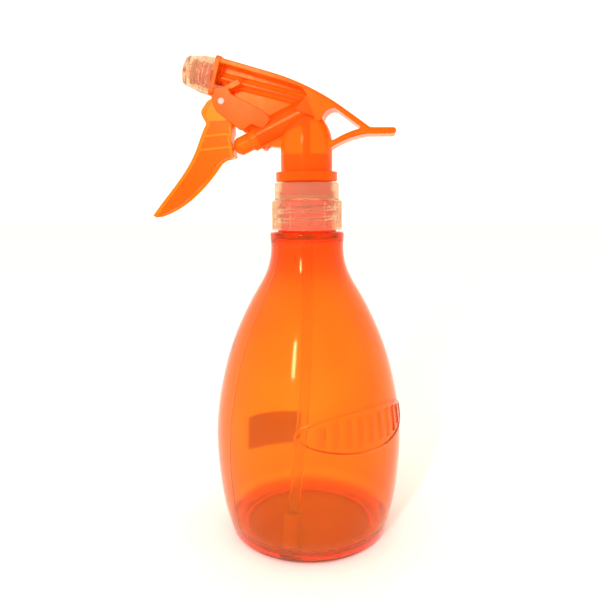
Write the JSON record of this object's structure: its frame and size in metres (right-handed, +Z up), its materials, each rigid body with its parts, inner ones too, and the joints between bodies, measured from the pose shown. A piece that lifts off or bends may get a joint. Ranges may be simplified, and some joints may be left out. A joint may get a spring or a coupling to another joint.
{
  "type": "hand mister",
  "caption": "Squeeze-trigger hand mister: translucent round bottle, ribbed screw collar, sprayer head with forked tail, trigger pump and adjustable nozzle.",
  "frame": {"origin": "on the bottle's axis, on the plane that its base ring stands on", "axes": "+Z up along the bottle's axis; -X is the side that the nozzle and trigger point to, +X the side of the tail; Y is across the head"},
  "size_m": [0.1192, 0.0906, 0.2298],
  "materials": {
    "bottle_plastic": "translucent orange, glossy, blow moulded",
    "head_plastic": "translucent red-orange, satin gloss, injection moulded",
    "trigger_plastic": "translucent amber-orange, satin gloss",
    "clear_plastic": "natural clear, slightly frosted",
    "natural_plastic": "natural milky, waxy",
    "tube_plastic": "natural translucent extruded tube",
    "pin_plastic": "grey natural, satin",
    "spring_steel": "drawn stainless wire",
    "ball_glass": "polished",
    "label_paper": "blank matt sticker"
  },
  "bodies": {
    "bottle": {"bottle": "bottle_plastic", "back_label": "label_paper"},
    "head": {"neck_gasket": "natural_plastic", "head_body": "head_plastic", "trigger_pin": "pin_plastic", "valve_seat": "natural_plastic", "dip_tube": "tube_plastic", "tube_filter": "natural_plastic", "nozzle_base": "trigger_plastic", "swirl_insert": "natural_plastic", "return_spring": "spring_steel", "outlet_spring": "spring_steel"},
    "collar": {"screw_collar": "clear_plastic"},
    "trigger": {"trigger": "trigger_plastic"},
    "piston": {"piston": "head_plastic", "piston_seal": "natural_plastic", "piston_wiper": "natural_plastic"},
    "inlet_ball": {"inlet_ball": "ball_glass"},
    "outlet_ball": {"outlet_ball": "ball_glass"},
    "nozzle_seal": {"nozzle_seal": "natural_plastic"},
    "nozzle_cap": {"nozzle_cap": "clear_plastic"}
  },
  "joints": [
    {"name": "head_lift", "type": "slide", "parent": "bottle", "child": "head", "axis": [0, 0, 1], "range_m": [0, 0.00634]},
    {"name": "collar_turn", "type": "hinge", "parent": "head", "child": "collar", "pos_m": [0, 0, 0.16], "axis": [0, 0, 1], "range_deg": [0, 540]},
    {"name": "trigger_pull", "type": "hinge", "parent": "head", "child": "trigger", "pos_m": [-0.0383, 0, 0.2082], "axis": [0, -1, 0], "range_deg": [0, 22], "stiffness_Nm_per_rad": 0.26, "springref_deg": -14.32},
    {"name": "piston_stroke", "type": "slide", "parent": "head", "child": "piston", "axis": [0.91, 0, 0.4147], "range_m": [0, 0.0081], "deforming": ["return_spring"]},
    {"name": "inlet_ball_lift", "type": "slide", "parent": "head", "child": "inlet_ball", "axis": [0, 0, 1], "range_m": [0, 0.0012]},
    {"name": "outlet_ball_lift", "type": "slide", "parent": "head", "child": "outlet_ball", "axis": [-0.9646, 0, 0.2639], "range_m": [0, 0.001], "stiffness_N_per_m": 60, "springref_m": -0.001, "deforming": ["outlet_spring"]},
    {"name": "nozzle_advance", "type": "slide", "parent": "head", "child": "nozzle_seal", "axis": [-0.9646, 0, 0.2639], "range_m": [0, 0.0017]},
    {"name": "nozzle_turn", "type": "hinge", "parent": "nozzle_seal", "child": "nozzle_cap", "pos_m": [-0.042, 0, 0.2197], "axis": [-0.9646, 0, 0.2639], "range_deg": [0, 360]}
  ],
  "couplings": [
    {"joint": "collar_turn", "follows": "head_lift", "rad_per_m": 1485.4},
    {"joint": "piston_stroke", "follows": "trigger_pull", "m_per_rad": 0.02086},
    {"joint": "nozzle_advance", "follows": "nozzle_turn", "m_per_rad": 0.00025465}
  ]
}
